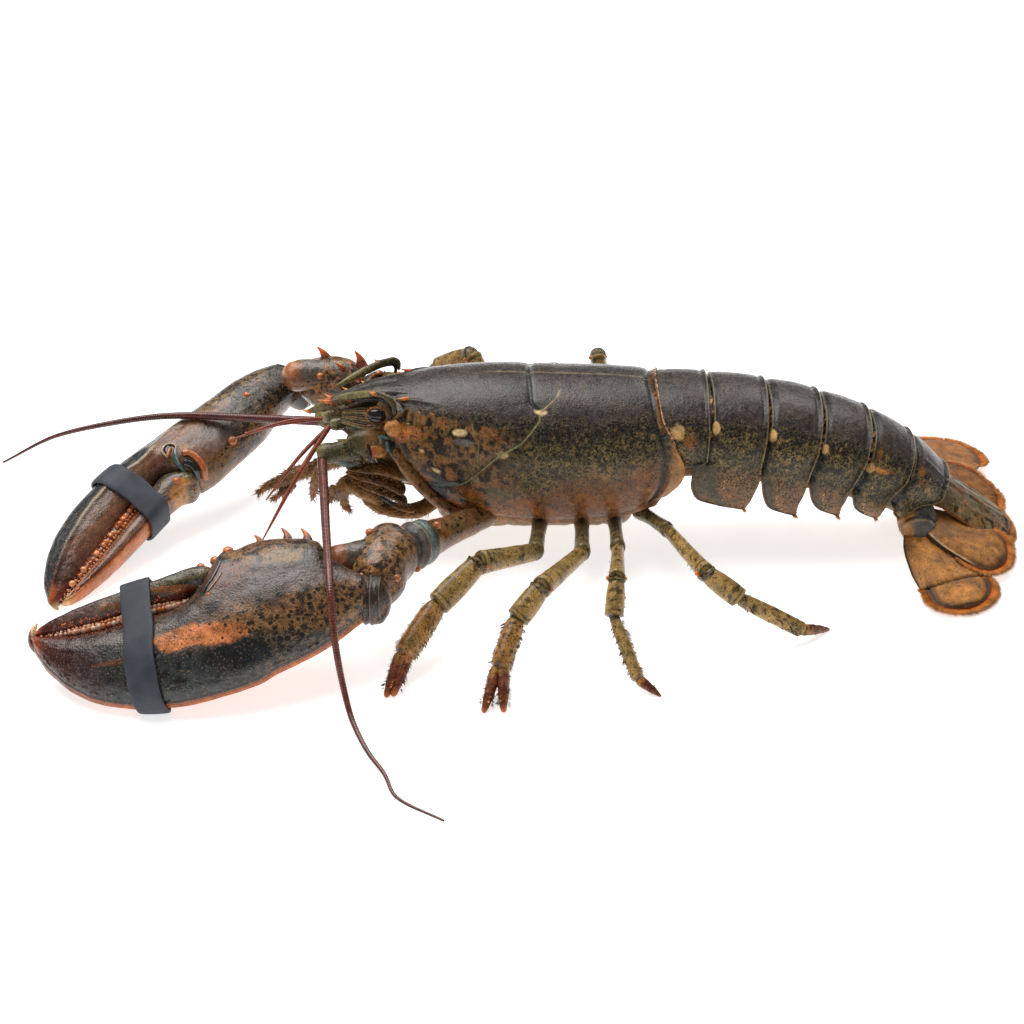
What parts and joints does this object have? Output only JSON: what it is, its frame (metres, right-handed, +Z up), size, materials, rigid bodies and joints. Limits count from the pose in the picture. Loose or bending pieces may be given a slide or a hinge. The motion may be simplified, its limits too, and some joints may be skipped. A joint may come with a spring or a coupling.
{
  "type": "raw lobster with banded claws",
  "caption": "Whole raw lobster lying belly down: domed carapace, jointed tail with a spread fan, walking legs, long feelers and large claws held shut by rubber bands.",
  "frame": {"origin": "centre of the bounding box at floor level", "axes": "+X along the body from head to tail, +Y to the lobster's right, +Z up; the part rests on the floor plane at z = 0"},
  "size_m": [0.3576, 0.2566, 0.0627],
  "materials": {
    "shell": "satin hard shell, slate brown to near black above, mottled ochre and black on the flanks",
    "underside": "paler underside of the thorax",
    "head": "olive and ochre head, feeler bases and mouth limbs",
    "eye": "glossy black on an olive stalk",
    "fan": "tan tail fan with a dark border and an orange fringe",
    "claw": "charcoal to red-brown claw shell, mottled orange, with an orange edge",
    "leg": "olive tan walking legs with dark spots",
    "whip": "ringed red-brown feelers",
    "band": "matt slate blue rubber"
  },
  "bodies": {
    "root": {"thorax": "underside", "carapace": "shell", "head": "head", "telson": "shell", "abdomen_1": "shell", "abdomen_2": "shell", "abdomen_3": "shell", "abdomen_4": "shell", "abdomen_5": "shell", "abdomen_6": "shell", "eye_left": "eye", "antenna_base_left": "head", "antennules_left": "whip", "maxilliped_left": "head", "uropod_base_left": "shell", "uropod_inner_left": "fan", "uropod_outer_left": "fan", "claw_arm_left": "claw", "claw_wrist_left": "claw", "claw_palm_left": "claw", "claw_finger_left": "claw", "band_left": "band", "antenna_left": "whip", "leg_left_1_upper": "leg", "leg_left_1_lower": "leg", "leg_left_2_upper": "leg", "leg_left_2_lower": "leg", "leg_left_3_upper": "leg", "leg_left_3_lower": "leg", "leg_left_4_upper": "leg", "leg_left_4_lower": "leg", "eye_right": "eye", "antenna_base_right": "head", "antennules_right": "whip", "maxilliped_right": "head", "uropod_base_right": "shell", "uropod_inner_right": "fan", "uropod_outer_right": "fan", "claw_arm_right": "claw", "claw_wrist_right": "claw", "claw_palm_right": "claw", "claw_finger_right": "claw", "band_right": "band", "antenna_right": "whip", "leg_right_1_upper": "leg", "leg_right_1_lower": "leg", "leg_right_2_upper": "leg", "leg_right_2_lower": "leg", "leg_right_3_upper": "leg", "leg_right_3_lower": "leg", "leg_right_4_upper": "leg", "leg_right_4_lower": "leg"}
  },
  "joints": []
}
